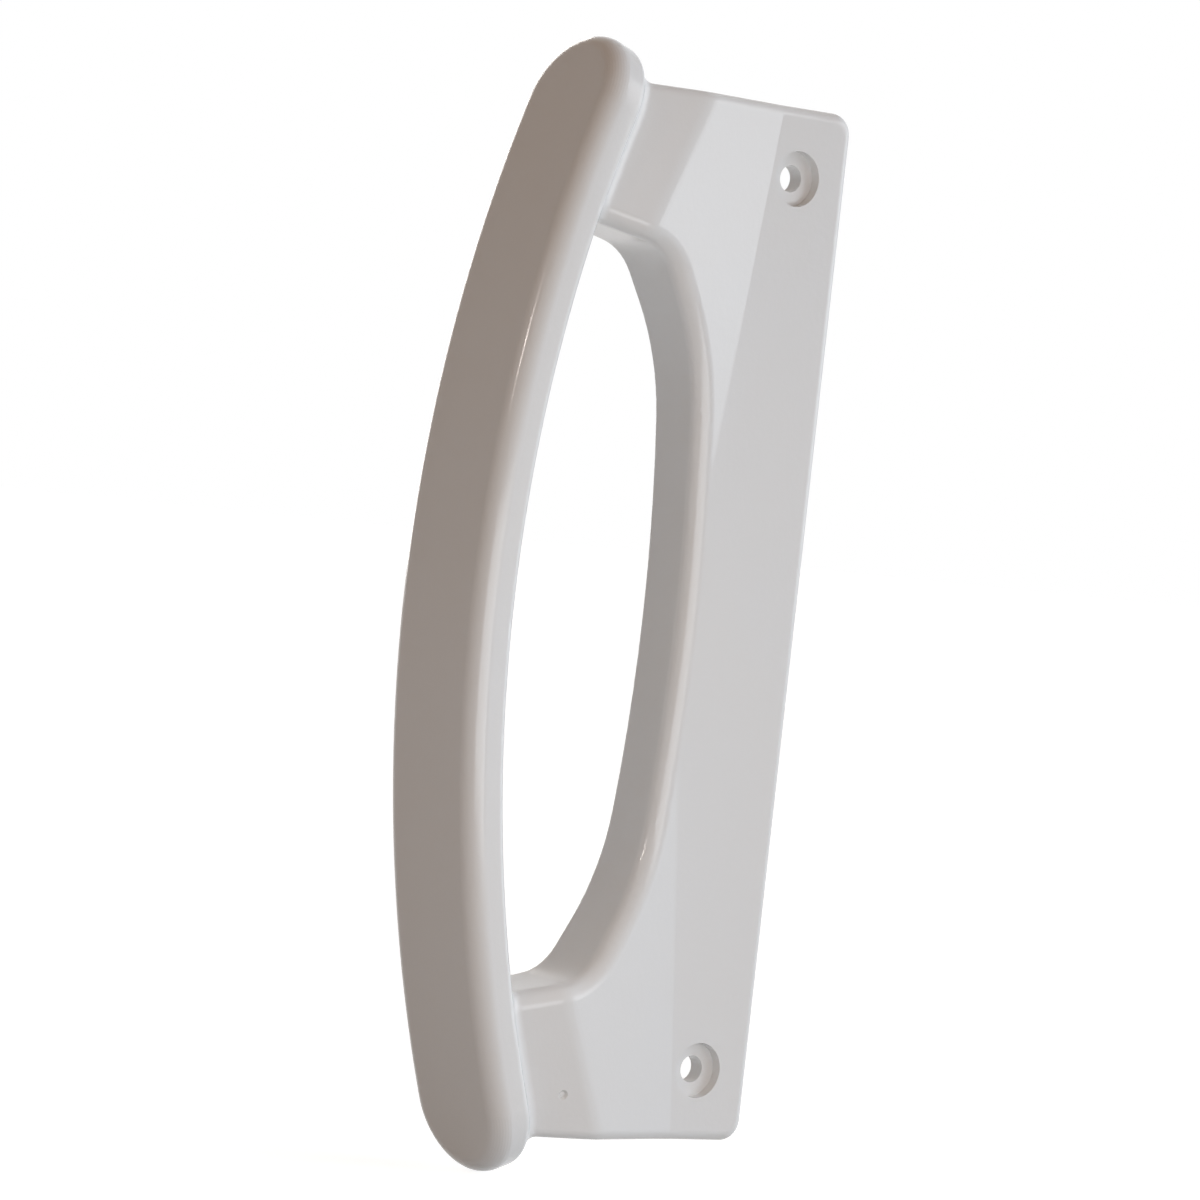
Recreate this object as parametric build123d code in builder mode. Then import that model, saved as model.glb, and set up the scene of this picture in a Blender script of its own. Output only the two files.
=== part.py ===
from build123d import *

import os
from math import asin, atan, cos, radians, sin, sqrt, tan

# Refrigerator door handle, one moulding: a plate that is screwed to the side of the door, a lip that
# stands in front of the door, and a bowed grip bar carried by a neck at each end.
# The origin lies midway between the two screw holes, on the face of the plate that meets the door.
# +Z runs along the handle, +X points out of the screw recesses and -Y points at the user.

# Screw holes
hole_pitch = 145.0
hole_diameter = 4.4
recess_diameter = 9.0
recess_depth = 1.8

# Plate on the side of the door, measured from the line of the holes
plate_length = 168.0
plate_thickness = 4.6
plate_rear = 10.7
plate_front = 10.7
plate_corner = 3.5
plate_edge = 1.8

# Lip in front of the door, which carries the rim of the finger opening
lip_thickness = 2.4
lip_depth = 7.0
seat_corner = 0.8

# Grip bar
bar_width = 23.0
bar_thickness = 7.0
bar_overhang = 7.6
bar_reach = 55.6
bar_bow = 240.0
bar_proud = 2.4
bar_front_edge = 3.2
bar_back_edge = 1.5

# Finger opening: a bowed rim, a slanted run towards the bar and a short end wall
opening_length = 122.6
rim_bow = 290.0
rim_bend = 45.0
slant_run = 19.3
slant_width = 12.7
slant_end = 3.2
slant_corner = 10.0
rim_edge = 2.8
far_edge = 1.0
neck_root = 2.2

# Raised faces on each neck: a roof that climbs from the plate, and a valley that falls to the bar
roof_slope = 8.0
roof_foot_top = 4.2
roof_foot_low = 10.0
roof_foot_run = 53.0
ridge_top = 20.3
ridge_low = 29.8
ridge_run = 21.0
ridge_blend = 8.0
valley_slope = 11.5

# Round pit left by the moulding gate, on the lower neck
gate_width = 1.6
gate_floor = 0.9
gate_depth = 0.5
gate_back = 28.3
gate_low = 76.8

# Hollows on the hidden side, between ribs and round bosses
core_wall = 2.4
core_rib = 1.6
plate_core = 2.1
plate_cells = 10
neck_skin = 2.6
boss_diameter = 13.0

# Levels that follow from the sizes above
bar_side = plate_thickness + bar_proud
bar_centre = bar_side - bar_width / 2
bow_centre = bar_bow - bar_reach
back_radius = bar_bow - bar_thickness
middle_radius = bar_bow - bar_thickness / 2
half_plate = plate_length / 2
half_bar = half_plate + bar_overhang
half_opening = opening_length / 2
half_rim = half_opening - slant_run
rim_middle = -plate_front - lip_thickness
rim_end = rim_middle - rim_bow + sqrt(rim_bow**2 - half_rim**2)
wall_foot = rim_middle - slant_width
wall_start = half_opening - slant_end
room = 4 * half_bar
small = 0.01
ends = (-1, 1)


def arc_y(radius, z):
    """Y of a line bent about the centre of the bar's bow, at height z."""
    return bow_centre - sqrt(radius**2 - z**2)


def bow_point(radius, angle, beyond=0.0):
    """Point of such a line in the side view, at an angle in radians, and beyond it on the tangent."""
    return (
        bow_centre - radius * cos(angle) + beyond * sin(angle),
        radius * sin(angle) + beyond * cos(angle),
    )


def roof_point(y, z):
    """Point of the upper roof above a point of the side view."""
    climb = (y + roof_foot_top) * roof_up.Y + (z - half_plate) * roof_up.Z
    return Vector(plate_thickness - climb / roof_up.X, y, z)


def valley_point(y, z):
    """Point of the upper valley above a point of the side view."""
    fall = (y - ridge_start.Y) * valley_up.Y + (z - ridge_start.Z) * valley_up.Z
    return Vector(ridge_start.X - fall / valley_up.X, y, z)


def starts_at_ridge(edge):
    """Whether an edge starts where a ridge meets the end face of its neck."""
    return any((Vector(v.X, v.Y, abs(v.Z)) - ridge_start).length < small for v in edge.vertices())


# The end wall of the opening runs on, in one line, past the front of the bar
wall_fall = slant_end / (wall_foot - arc_y(back_radius, half_opening))
wall_far = wall_start + wall_fall * (wall_foot + bar_reach)

# The roof stands on a straight foot line in the plate's face; the valley falls from the ridge
foot_turn = atan((roof_foot_low - roof_foot_top) / roof_foot_run)
roof_up = Vector(1, 0, 0) + Vector(0, cos(foot_turn), -sin(foot_turn)) * tan(radians(roof_slope))
ridge_start = roof_point(-ridge_top, half_plate)
ridge_stop = roof_point(-ridge_low, half_plate - ridge_run)
valley_fall = Vector(-tan(radians(valley_slope)), -1, 0)
valley_up = valley_fall.cross(ridge_stop - ridge_start).normalized()
roof_rise = ridge_stop.X - plate_thickness + plate_edge
gate_mouth = valley_point(-gate_back, gate_low)

# Grip bar: a slab that follows the bow and runs out straight into round ends
end_swing = asin(half_bar / sqrt(bar_bow**2 + (bar_width / 2) ** 2)) - atan(bar_width / 2 / bar_bow)

with BuildPart() as bar:
    with BuildSketch(Plane.YZ.offset(bar_side)):
        with BuildLine():
            for radius in (bar_bow, back_radius):
                ThreePointArc(*(bow_point(radius, side * end_swing) for side in (-1, 0, 1)))
                for end in ends:
                    tip = bow_point(radius, end * end_swing, end * bar_width)
                    Line(bow_point(radius, end * end_swing), tip)
            for end in ends:
                Line(*(bow_point(r, end * end_swing, end * bar_width) for r in (bar_bow, back_radius)))
        make_face()
    extrude(amount=-bar_width)
    for end in ends:
        y, z = bow_point(bar_bow, end * end_swing)
        outward = (0, -cos(end_swing), end * sin(end_swing))
        with BuildSketch(Plane(origin=(bar_centre, y, z), x_dir=(1, 0, 0), z_dir=outward)):
            with Locations((0, end * room / 2)):
                Rectangle(2 * bar_width, room)
            Circle(bar_width / 2, mode=Mode.SUBTRACT)
        extrude(amount=2 * bar_thickness, both=True, mode=Mode.SUBTRACT)
    for radius, edge in ((bar_bow, bar_front_edge), (back_radius, bar_back_edge)):
        bent = bar.faces().filter_by(GeomType.CYLINDER)
        face = bent.filter_by(lambda f, r=radius: abs(f.radius - r) < small)[0]
        fillet(face.edges().filter_by(GeomType.CIRCLE), edge)

# Space above the roofs and the plate's face
with BuildPart() as above_roofs:
    with Locations((plate_thickness, 0, 0)):
        Box(2 * roof_rise, room, room, align=(Align.MIN, Align.CENTER, Align.CENTER))
    for end in ends:
        roof = Plane(
            origin=(plate_thickness, -roof_foot_top, end * half_plate),
            z_dir=(roof_up.X, roof_up.Y, end * roof_up.Z),
        )
        with Locations(roof):
            Box(room, room, room, align=(Align.CENTER, Align.CENTER, Align.MAX), mode=Mode.SUBTRACT)

with BuildPart() as handle:
    # Plate, lip and necks as one block in the side view, as far as the middle of the bar
    with BuildSketch(Plane.YZ.offset(-lip_depth)):
        with BuildLine():
            tips = [(arc_y(middle_radius, half_plate), half_plate * end) for end in ends]
            ThreePointArc(tips[0], (arc_y(middle_radius, 0), 0), tips[1])
            Polyline(tips[1], (plate_rear, half_plate), (plate_rear, -half_plate), tips[0])
        make_face()
        fillet(vertices().group_by(Axis.X)[-1], plate_corner)
    extrude(amount=lip_depth + plate_thickness + roof_rise)

    # Raised faces
    add(above_roofs.part, mode=Mode.SUBTRACT)
    for end in ends:
        slope = Plane(
            origin=(ridge_start.X, ridge_start.Y, end * ridge_start.Z),
            x_dir=(0, 1, 0),
            z_dir=(valley_up.X, valley_up.Y, end * valley_up.Z),
        )
        with Locations(slope):
            Box(room, room, room, align=(Align.CENTER, Align.CENTER, Align.MIN), mode=Mode.SUBTRACT)

    # Finger opening
    with BuildSketch(Plane.YZ.offset(-lip_depth)):
        with BuildLine():
            upper = [(rim_end, half_rim), (wall_foot, wall_start), (-bar_reach, wall_far)]
            lower = [(y, -z) for y, z in upper]
            ThreePointArc(lower[0], (rim_middle, 0), upper[0])
            Polyline(*upper)
            Polyline(*lower)
            Line(lower[-1], upper[-1])
        make_face()
        fillet(vertices().group_by(Axis.X)[-1], rim_bend)
        fillet(vertices().filter_by(lambda v: abs(v.X - wall_foot) < small), slant_corner)
    extrude(amount=lip_depth + plate_thickness + 2 * roof_rise, mode=Mode.SUBTRACT)

    # Seat for the corner of the door
    with Locations((0, -plate_front, 0)):
        Box(room, room, room, align=(Align.MAX, Align.MIN, Align.CENTER), mode=Mode.SUBTRACT)
    along = handle.edges().filter_by(Axis.Z)
    fillet(along.filter_by(lambda e: (e.center() + (0, plate_front, 0)).length < small), seat_corner)

    # Roundings: the ridges, the rim, the outline and the far edges
    ridges = handle.edges().filter_by(lambda e: abs(e.center().Z) < half_plate - small)
    fillet(ridges.filter_by(starts_at_ridge), ridge_blend)
    near = handle.edges().filter_by(lambda e: e.center().X > plate_thickness - small)
    fillet(
        near.filter_by(
            lambda e: abs(e.center().Z) < wall_far and e.center().Y < rim_middle + small
        ),
        rim_edge,
    )
    near = handle.edges().filter_by(lambda e: e.center().X > plate_thickness - small)
    fillet(
        near.filter_by(lambda e: abs(e.center().Z) > half_plate - small or e.center().Y > 0),
        plate_edge,
    )
    far = handle.edges().filter_by(lambda e: e.center().X < small - lip_depth)
    fillet(
        far.filter_by(
            lambda e: abs(e.center().Z) > half_plate - small
            or (abs(e.center().Z) < wall_far and -bar_reach < e.center().Y < rim_middle + small)
        ),
        far_edge,
    )

    # Bar, and the hollow rounding that runs round each neck where it enters the bar's back
    add(bar.part)
    across = handle.edges().filter_by(Axis.X)
    fillet(
        across.filter_by(lambda e: e.center().Y < arc_y(back_radius, half_plate) + small),
        neck_root,
    )

    # Screw holes
    with Locations(Plane(origin=(plate_thickness, 0, 0), x_dir=(0, 1, 0), z_dir=(1, 0, 0))):
        with GridLocations(0, hole_pitch, 1, 2):
            CounterBoreHole(
                radius=hole_diameter / 2,
                counter_bore_radius=recess_diameter / 2,
                counter_bore_depth=recess_depth,
                depth=plate_thickness,
            )

    # Gate mark
    mouth = Plane(
        origin=(gate_mouth.X, gate_mouth.Y, -gate_mouth.Z),
        z_dir=(valley_up.X, valley_up.Y, -valley_up.Z),
    )
    with Locations(mouth):
        Cone(
            gate_floor / 2,
            gate_width / 2,
            gate_depth,
            align=(Align.CENTER, Align.CENTER, Align.MAX),
            mode=Mode.SUBTRACT,
        )

    # Hollows behind the plate
    with BuildSketch(Plane.YZ):
        with Locations(((plate_rear - plate_front) / 2, 0)):
            Rectangle(plate_rear + plate_front - 2 * core_wall, plate_length - 2 * core_wall)
            with GridLocations(0, (plate_length - core_wall) / plate_cells, 1, plate_cells - 1):
                Rectangle(plate_rear + plate_front, core_rib, mode=Mode.SUBTRACT)
        with GridLocations(0, hole_pitch, 1, 2):
            Circle(boss_diameter / 2, mode=Mode.SUBTRACT)
    extrude(amount=plate_core, mode=Mode.SUBTRACT)

    # Hollows in the necks
    with BuildSketch(Plane.YZ.offset(-lip_depth)):
        for end in ends:
            with BuildLine():
                Polyline(
                    (-plate_front, end * half_plate),
                    (-plate_front, end * half_rim),
                    (rim_end, end * half_rim),
                    (wall_foot, end * wall_start),
                    (arc_y(back_radius, half_opening) + neck_root, end * half_opening),
                    (arc_y(back_radius, half_plate) + neck_root, end * half_plate),
                    close=True,
                )
            make_face()
        offset(amount=-core_wall, kind=Kind.INTERSECTION)
        with Locations((wall_foot + core_wall, 0)):
            Rectangle(core_rib, plate_length, mode=Mode.SUBTRACT)
        with GridLocations(0, half_plate + half_opening, 1, 2):
            Rectangle(room, core_rib, mode=Mode.SUBTRACT)
        with GridLocations(0, 2 * wall_start, 1, 2):
            Rectangle(room, core_rib, mode=Mode.SUBTRACT)
    extrude(amount=lip_depth + plate_thickness - neck_skin, mode=Mode.SUBTRACT)

os.makedirs("parts", exist_ok=True)
handle.part.label = "door_handle"
export_step(handle.part, "parts/door_handle.step")
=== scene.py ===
from math import cos, degrees, hypot, radians, sin

import bmesh
import bpy
from mathutils import Matrix, Vector


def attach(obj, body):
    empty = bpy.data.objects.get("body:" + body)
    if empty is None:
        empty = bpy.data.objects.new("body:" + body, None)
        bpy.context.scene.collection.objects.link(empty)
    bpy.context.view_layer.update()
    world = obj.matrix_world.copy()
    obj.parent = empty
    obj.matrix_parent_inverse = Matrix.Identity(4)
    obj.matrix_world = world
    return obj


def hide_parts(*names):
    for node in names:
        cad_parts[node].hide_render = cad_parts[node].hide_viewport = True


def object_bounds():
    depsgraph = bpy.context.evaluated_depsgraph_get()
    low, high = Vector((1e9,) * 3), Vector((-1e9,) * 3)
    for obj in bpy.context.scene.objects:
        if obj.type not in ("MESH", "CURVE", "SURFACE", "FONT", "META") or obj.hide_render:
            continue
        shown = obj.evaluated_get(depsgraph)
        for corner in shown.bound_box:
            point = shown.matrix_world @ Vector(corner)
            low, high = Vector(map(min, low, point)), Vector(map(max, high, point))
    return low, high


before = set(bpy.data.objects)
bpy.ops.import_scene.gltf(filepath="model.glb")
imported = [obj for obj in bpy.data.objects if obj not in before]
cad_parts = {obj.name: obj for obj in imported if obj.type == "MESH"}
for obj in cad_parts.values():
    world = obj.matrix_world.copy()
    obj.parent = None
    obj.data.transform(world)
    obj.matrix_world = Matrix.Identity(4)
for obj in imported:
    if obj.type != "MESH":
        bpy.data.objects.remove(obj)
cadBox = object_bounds()
scene = bpy.context.scene
mm = 0.001
print("frame loaded")

# Moulded white plastic: a faint orange peel, a slow drift in tone and gloss, fine handling scuffs
plasticLook = {
    "color": (0.80, 0.805, 0.81),
    "warmTint": (0.80, 0.79, 0.775),
    "ior": 1.52,
    "roughness": 0.15,
    "roughnessDrift": 0.03,
    "peelScale": 900.0,
    "peelHeight": 0.00002,
    "waveScale": 28.0,
    "waveHeight": 0.00006,
    "scuffScale": 420.0,
    "scuffAmount": 0.05,
}

# The skin's own pattern. Scuffs are thin streaks that run round the grip, so the noise behind them
# is squeezed along the handle
skinPattern = {
    "driftDetail": 2.0,
    "peelDetail": 3.0,
    "peelRoughness": 0.6,
    "scuffDetail": 5.0,
    "scuffRoughness": 0.7,
    "scuffTurn": 24.0,
    "scuffSqueeze": (0.25, 0.25, 3.0),
    "scuffStart": 0.60,
    "scuffFull": 0.72,
}


def addSocket(group, name, kind, side, value=None):
    socket = group.interface.new_socket(name=name, in_out=side, socket_type=kind)
    if value is not None:
        socket.default_value = value


def mouldedSkinGroup(look):
    group = bpy.data.node_groups.new("mouldedSkin", "ShaderNodeTree")
    addSocket(group, "Vector", "NodeSocketVector", "INPUT")
    addSocket(group, "Drift Scale", "NodeSocketFloat", "INPUT", 30.0)
    addSocket(group, "Peel Scale", "NodeSocketFloat", "INPUT", 900.0)
    addSocket(group, "Scuff Scale", "NodeSocketFloat", "INPUT", 400.0)
    addSocket(group, "Drift", "NodeSocketFloat", "OUTPUT")
    addSocket(group, "Peel", "NodeSocketFloat", "OUTPUT")
    addSocket(group, "Scuffs", "NodeSocketFloat", "OUTPUT")
    nodes, links = group.nodes, group.links
    given = nodes.new("NodeGroupInput")
    result = nodes.new("NodeGroupOutput")

    drift = nodes.new("ShaderNodeTexNoise")
    drift.inputs["Detail"].default_value = look["driftDetail"]
    links.new(given.outputs["Vector"], drift.inputs["Vector"])
    links.new(given.outputs["Drift Scale"], drift.inputs["Scale"])
    links.new(drift.outputs["Fac"], result.inputs["Drift"])

    peel = nodes.new("ShaderNodeTexNoise")
    peel.inputs["Detail"].default_value = look["peelDetail"]
    peel.inputs["Roughness"].default_value = look["peelRoughness"]
    links.new(given.outputs["Vector"], peel.inputs["Vector"])
    links.new(given.outputs["Peel Scale"], peel.inputs["Scale"])
    links.new(peel.outputs["Fac"], result.inputs["Peel"])

    squeeze = nodes.new("ShaderNodeMapping")
    squeeze.inputs["Rotation"].default_value = (0.0, 0.0, radians(look["scuffTurn"]))
    squeeze.inputs["Scale"].default_value = look["scuffSqueeze"]
    scuffs = nodes.new("ShaderNodeTexNoise")
    scuffs.inputs["Detail"].default_value = look["scuffDetail"]
    scuffs.inputs["Roughness"].default_value = look["scuffRoughness"]
    cut = nodes.new("ShaderNodeMapRange")
    cut.inputs["From Min"].default_value = look["scuffStart"]
    cut.inputs["From Max"].default_value = look["scuffFull"]
    links.new(given.outputs["Vector"], squeeze.inputs["Vector"])
    links.new(squeeze.outputs["Vector"], scuffs.inputs["Vector"])
    links.new(given.outputs["Scuff Scale"], scuffs.inputs["Scale"])
    links.new(scuffs.outputs["Fac"], cut.inputs["Value"])
    links.new(cut.outputs["Result"], result.inputs["Scuffs"])
    return group


def plasticMaterial(name, look, skin):
    material = bpy.data.materials.new(name)
    material.use_nodes = True
    nodes, links = material.node_tree.nodes, material.node_tree.links
    shader = nodes["Principled BSDF"]
    shader.inputs["IOR"].default_value = look["ior"]

    place = nodes.new("ShaderNodeTexCoord")
    surface = nodes.new("ShaderNodeGroup")
    surface.node_tree = skin
    surface.inputs["Drift Scale"].default_value = look["waveScale"]
    surface.inputs["Peel Scale"].default_value = look["peelScale"]
    surface.inputs["Scuff Scale"].default_value = look["scuffScale"]
    links.new(place.outputs["Object"], surface.inputs["Vector"])

    tone = nodes.new("ShaderNodeMix")
    tone.data_type = "RGBA"
    tone.inputs["A"].default_value = (*look["color"], 1.0)
    tone.inputs["B"].default_value = (*look["warmTint"], 1.0)
    links.new(surface.outputs["Drift"], tone.inputs["Factor"])
    links.new(tone.outputs["Result"], shader.inputs["Base Color"])

    gloss = nodes.new("ShaderNodeMapRange")
    gloss.inputs["To Min"].default_value = look["roughness"] - look["roughnessDrift"]
    gloss.inputs["To Max"].default_value = look["roughness"] + look["roughnessDrift"]
    links.new(surface.outputs["Drift"], gloss.inputs["Value"])
    rough = nodes.new("ShaderNodeMath")
    rough.operation = "MULTIPLY_ADD"
    rough.inputs[1].default_value = look["scuffAmount"]
    links.new(surface.outputs["Scuffs"], rough.inputs[0])
    links.new(gloss.outputs["Result"], rough.inputs[2])
    links.new(rough.outputs["Value"], shader.inputs["Roughness"])

    wave = nodes.new("ShaderNodeBump")
    wave.inputs["Strength"].default_value = 1.0
    wave.inputs["Distance"].default_value = look["waveHeight"]
    links.new(surface.outputs["Drift"], wave.inputs["Height"])
    peel = nodes.new("ShaderNodeBump")
    peel.inputs["Strength"].default_value = 1.0
    peel.inputs["Distance"].default_value = look["peelHeight"]
    links.new(surface.outputs["Peel"], peel.inputs["Height"])
    links.new(wave.outputs["Normal"], peel.inputs["Normal"])
    links.new(peel.outputs["Normal"], shader.inputs["Normal"])
    return material


mouldedSkin = mouldedSkinGroup(skinPattern)
whitePlastic = plasticMaterial("whitePlastic", plasticLook, mouldedSkin)
print("materials made")

# The handle keeps the shape of its CAD node. A merged copy gets finer triangles along the bar's
# long roundings, where the node's are coarse, and carries smooth, face-weighted shading
handleShading = {
    "node": "door_handle",
    "mergeDistance": 0.001 * mm,
    "sharpAngle": 32.0,
    "roofSlope": 8.0,  # the crease between plate and roof stays sharp too
    "slopeSlack": 0.2,
    "faceWeight": 100,
    "bowY": 184.4 * mm,
    "slack": 0.012 * mm,
    "passes": 3,
    # Each rounding: its side in X, then in mm its middle in X, the radius of its bow, its own
    # radius and its reach in Z
    "backEdges": ((1, 5.5, 234.5, 1.5, 58.0), (-1, -14.5, 234.5, 1.5, 78.0)),
    "frontEdges": ((1, 3.8, 236.8, 3.2, 78.0), (-1, -12.8, 236.8, 3.2, 78.0)),
}


def onRounding(place, look):
    # The spot on a rounding that lies over this place, or None where it is already on the surface
    bow = hypot(place.y - look["bowY"], place.z)  # distance from the middle of the bar's bow
    for depth, edges in ((-1, look["backEdges"]), (1, look["frontEdges"])):
        for side, *sizes in edges:
            middle, sweep, radius, reach = (size * mm for size in sizes)
            across, out = place.x - middle, bow - sweep
            under = hypot(across, out)
            inside = across * side > 0 and out * depth > 0 and abs(place.z) < reach
            if inside and under < radius - look["slack"]:
                grow = (sweep + out * radius / under) / bow
                y = look["bowY"] + (place.y - look["bowY"]) * grow
                return Vector((middle + across * radius / under, y, place.z * grow))
    return None


def smoothCopy(look):
    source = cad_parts[look["node"]]
    form = bmesh.new()
    form.from_mesh(source.data)
    bmesh.ops.remove_doubles(form, verts=form.verts, dist=look["mergeDistance"])
    for step in range(look["passes"]):
        middles = ((e, (e.verts[0].co + e.verts[1].co) / 2) for e in form.edges)
        low = [e for e, middle in middles if onRounding(middle, look)]
        bmesh.ops.subdivide_edges(form, edges=low, cuts=1)
        for corner in form.verts:
            corner.co = onRounding(corner.co, look) or corner.co
        bmesh.ops.triangulate(form, faces=[f for f in form.faces if len(f.verts) > 3])
    for face in form.faces:
        face.smooth = True
    for edge in form.edges:
        turned = degrees(edge.calc_face_angle())
        onRoof = abs(turned - look["roofSlope"]) <= look["slopeSlack"]
        edge.smooth = turned < look["sharpAngle"] and not onRoof
    print("handle triangles:", len(form.faces))
    mesh = bpy.data.meshes.new("handleSkin")
    form.to_mesh(mesh)
    form.free()
    piece = bpy.data.objects.new("handleSkin", mesh)
    scene.collection.objects.link(piece)
    weigh = piece.modifiers.new("weigh", "WEIGHTED_NORMAL")
    weigh.keep_sharp = True
    weigh.weight = look["faceWeight"]
    graph = bpy.context.evaluated_depsgraph_get()
    finished = bpy.data.meshes.new_from_object(piece.evaluated_get(graph), depsgraph=graph)
    piece.modifiers.clear()
    piece.data = finished
    return piece


handleSkin = smoothCopy(handleShading)
handleSkin.data.materials.clear()
handleSkin.data.materials.append(whitePlastic)
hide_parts(handleShading["node"])
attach(handleSkin, "root")
print("handle finished")

# Camera, fitted to the photograph's outline; the object leans to the right in the frame
cameraSet = {
    "azimuth": 52.0,
    "elevation": 1.29,
    "distance": 900.0 * mm,
    "target": (0.0, -27.1 * mm, 1.77 * mm),
    "roll": 6.34,
    "focalPixels": 5650.0,
    "framePixels": 1200.0,
    "sensor": 36.0,
    "clipStart": 0.01,
    "clipEnd": 100.0,
}


def makeCamera(look):
    azimuth, elevation, roll = (radians(look[k]) for k in ("azimuth", "elevation", "roll"))
    back = Vector(
        (sin(azimuth) * cos(elevation), -cos(azimuth) * cos(elevation), sin(elevation))
    )
    right = Vector((cos(azimuth), sin(azimuth), 0.0))
    up = back.cross(right)
    cameraRight = cos(roll) * right + sin(roll) * up
    cameraUp = cos(roll) * up - sin(roll) * right
    lens = bpy.data.cameras.new("camera")
    lens.sensor_width = look["sensor"]
    lens.lens = look["sensor"] * look["focalPixels"] / look["framePixels"]
    lens.clip_start = look["clipStart"]
    lens.clip_end = look["clipEnd"]
    camera = bpy.data.objects.new("camera", lens)
    scene.collection.objects.link(camera)
    turn = Matrix((cameraRight, cameraUp, back)).transposed().to_4x4()
    place = Vector(look["target"]) + look["distance"] * back
    camera.matrix_world = Matrix.Translation(place) @ turn
    scene.camera = camera


makeCamera(cameraSet)
print("camera placed")

# Studio: a white floor and surroundings, a dim warm fill from the plate's side, a broad key lamp
# beyond the plate, a rear lamp for the hidden side, a low card and a small lamp that glints on the
# edges. The key lamp stays out of reflections, where the sheen lamp stands in for it
studio = {
    "floorGap": 0.2 * mm,
    "floorHalf": 6.0,
    "floorColor": (0.50, 0.50, 0.50),
    "floorGlow": 0.86,
    "fillFar": (0.02, 0.01, 0.0),
    "fillNear": (0.26, 0.12, 0.03),
    "fillAxis": (1.0, 0.0, 0.0),
    "sunDistance": 1.0,
    "keyAngle": 60.0,
    "keyRise": 16.0,
    "keySpread": 70.0,
    "keyColor": (0.70, 0.86, 1.0),
    "keyStrength": 2.52,
    "rearAngle": 168.0,
    "rearRise": 12.0,
    "rearSpread": 40.0,
    "rearColor": (1.0, 0.98, 0.95),
    "rearStrength": 1.1,
    "sheenAngle": 64.0,
    "sheenRise": 10.0,
    "sheenSpread": 44.0,
    "sheenColor": (1.0, 1.0, 1.0),
    "sheenStrength": 0.74,
    "bounceAngle": -18.0,
    "bounceRise": 0.0,
    "bounceDistance": 0.30,
    "bounceHeight": -0.028,
    "bounceSize": (0.30, 0.12),
    "bounceColor": (0.93, 0.97, 1.0),
    "bouncePower": 0.30,
    "glintAngle": -82.0,
    "glintRise": 18.0,
    "glintDistance": 1.0,
    "glintSize": 0.045,
    "glintColor": (1.0, 0.90, 0.84),
    "glintPower": 0.48,
}


def whiteToView(material, color, glow):
    nodes, links = material.node_tree.nodes, material.node_tree.links
    nodes.remove(nodes["Principled BSDF"])
    paint = nodes.new("ShaderNodeBsdfDiffuse")
    paint.inputs["Color"].default_value = (*color, 1.0)
    light = nodes.new("ShaderNodeEmission")
    strength = nodes.new("ShaderNodeMath")
    strength.operation = "MULTIPLY"
    strength.inputs[1].default_value = glow
    both = nodes.new("ShaderNodeAddShader")
    links.new(viewRays(nodes, links), strength.inputs[0])
    links.new(strength.outputs["Value"], light.inputs["Strength"])
    links.new(paint.outputs["BSDF"], both.inputs[0])
    links.new(light.outputs["Emission"], both.inputs[1])
    links.new(both.outputs["Shader"], nodes["Material Output"].inputs["Surface"])


def viewRays(nodes, links):
    rays = nodes.new("ShaderNodeLightPath")
    total = rays.outputs["Is Camera Ray"]
    for name in ("Is Glossy Ray", "Is Transmission Ray"):
        step = nodes.new("ShaderNodeMath")
        step.operation = "MAXIMUM"
        links.new(total, step.inputs[0])
        links.new(rays.outputs[name], step.inputs[1])
        total = step.outputs["Value"]
    return total


def makeFloor(look):
    half = look["floorHalf"]
    height = cadBox[0][2] - look["floorGap"]
    mesh = bpy.data.meshes.new("floor")
    square = ((-half, -half), (half, -half), (half, half), (-half, half))
    mesh.from_pydata([(x, y, height) for x, y in square], [], [(0, 1, 2, 3)])
    floor = bpy.data.objects.new("floor", mesh)
    scene.collection.objects.link(floor)
    material = bpy.data.materials.new("floorPaint")
    material.use_nodes = True
    whiteToView(material, look["floorColor"], look["floorGlow"])
    floor.data.materials.append(material)


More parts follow.
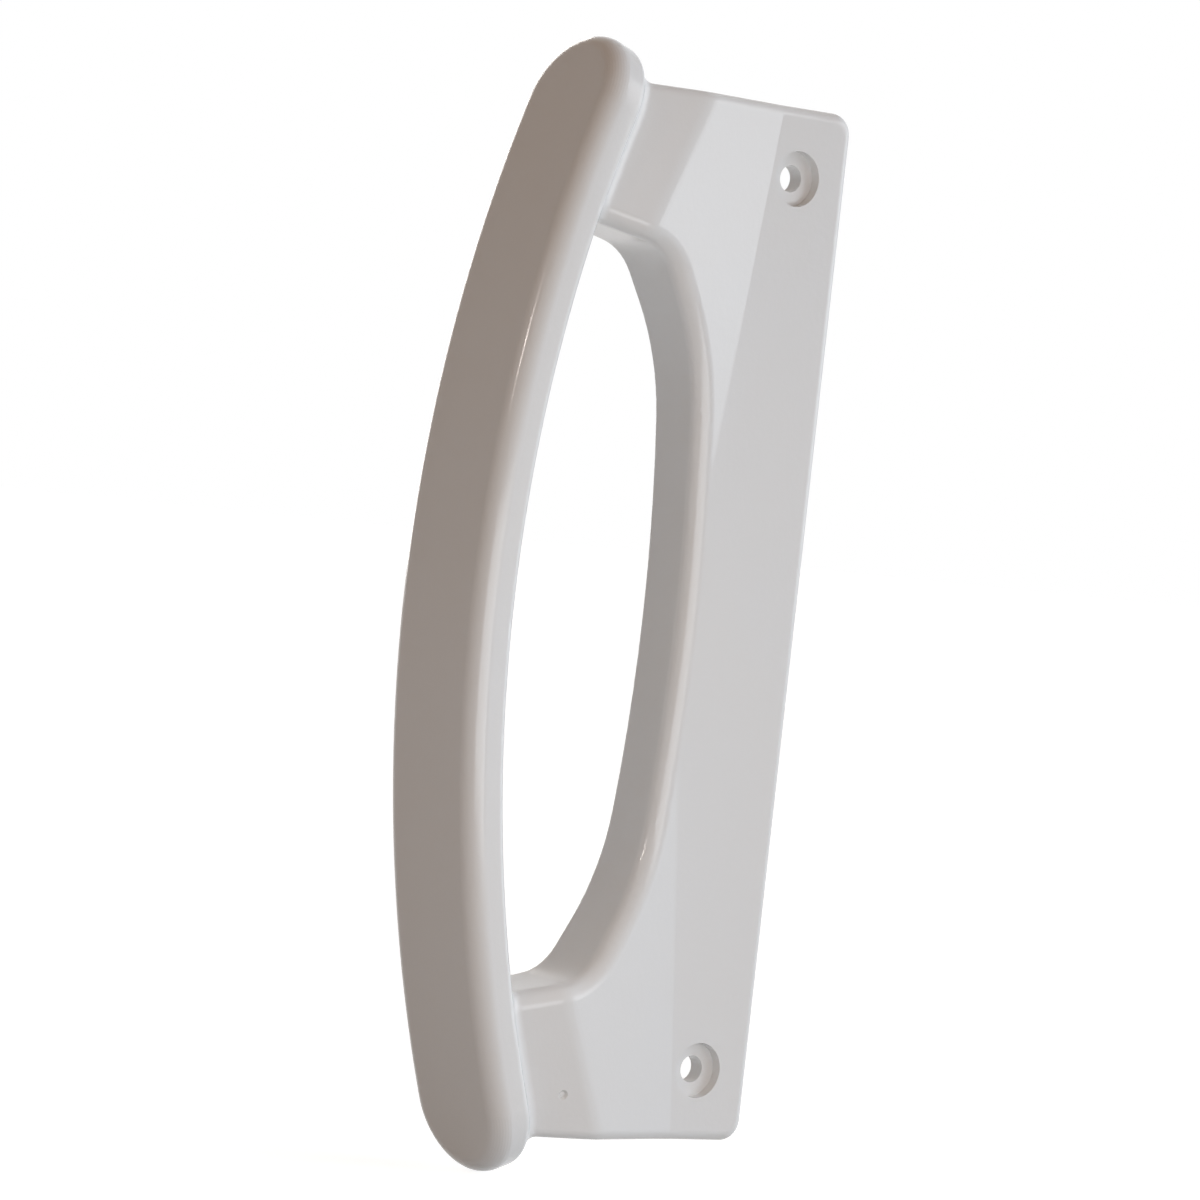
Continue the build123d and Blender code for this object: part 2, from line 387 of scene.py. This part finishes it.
def makeWorld(look):
    world = bpy.data.worlds.new("studio")
    scene.world = world
    world.use_nodes = True
    nodes, links = world.node_tree.nodes, world.node_tree.links
    place = nodes.new("ShaderNodeTexCoord")
    along = nodes.new("ShaderNodeVectorMath")
    along.operation = "DOT_PRODUCT"
    along.inputs[1].default_value = Vector(look["fillAxis"]).normalized()
    share = nodes.new("ShaderNodeMapRange")
    share.inputs["From Min"].default_value = -1.0
    blend = nodes.new("ShaderNodeMix")
    blend.data_type = "RGBA"
    blend.inputs["A"].default_value = (*look["fillFar"], 1.0)
    blend.inputs["B"].default_value = (*look["fillNear"], 1.0)
    links.new(place.outputs["Generated"], along.inputs[0])
    links.new(along.outputs["Value"], share.inputs["Value"])
    links.new(share.outputs["Result"], blend.inputs["Factor"])
    fill = nodes["Background"]
    links.new(blend.outputs["Result"], fill.inputs["Color"])
    plain = nodes.new("ShaderNodeBackground")
    plain.inputs["Color"].default_value = (1.0, 1.0, 1.0, 1.0)
    choose = nodes.new("ShaderNodeMixShader")
    links.new(viewRays(nodes, links), choose.inputs["Fac"])
    links.new(fill.outputs["Background"], choose.inputs[1])
    links.new(plain.outputs["Background"], choose.inputs[2])
    links.new(choose.outputs["Shader"], nodes["World Output"].inputs["Surface"])


def direction(angle, rise):
    angle, rise = radians(angle), radians(rise)
    return Vector((cos(angle) * cos(rise), sin(angle) * cos(rise), sin(rise)))


def placeLamp(light, angle, rise, distance):
    lamp = bpy.data.objects.new(light.name, light)
    scene.collection.objects.link(lamp)
    lamp.location = direction(angle, rise) * distance
    lamp.rotation_euler = direction(angle, rise).to_track_quat("Z", "Y").to_euler()
    return lamp


def makeLamps(look):
    for part in ("key", "rear", "sheen"):
        sun = bpy.data.lights.new(part + "Lamp", "SUN")
        sun.angle = radians(look[part + "Spread"])
        sun.color = look[part + "Color"]
        sun.energy = look[part + "Strength"]
        lamp = placeLamp(sun, look[part + "Angle"], look[part + "Rise"], look["sunDistance"])
        lamp.visible_glossy = part != "key"
        lamp.visible_diffuse = part != "sheen"
    bounce = bpy.data.lights.new("bounceLamp", "AREA")
    bounce.shape = "RECTANGLE"
    bounce.size, bounce.size_y = look["bounceSize"]
    bounce.color = look["bounceColor"]
    bounce.energy = look["bouncePower"]
    card = placeLamp(bounce, look["bounceAngle"], look["bounceRise"], look["bounceDistance"])
    card.location.z = look["bounceHeight"]
    card.visible_camera = False
    glint = bpy.data.lights.new("glintLamp", "AREA")
    glint.shape = "DISK"
    glint.size = look["glintSize"]
    glint.color = look["glintColor"]
    glint.energy = look["glintPower"]
    placeLamp(glint, look["glintAngle"], look["glintRise"], look["glintDistance"])


makeFloor(studio)
makeWorld(studio)
makeLamps(studio)
scene.view_settings.view_transform = "Standard"
print("studio lit")
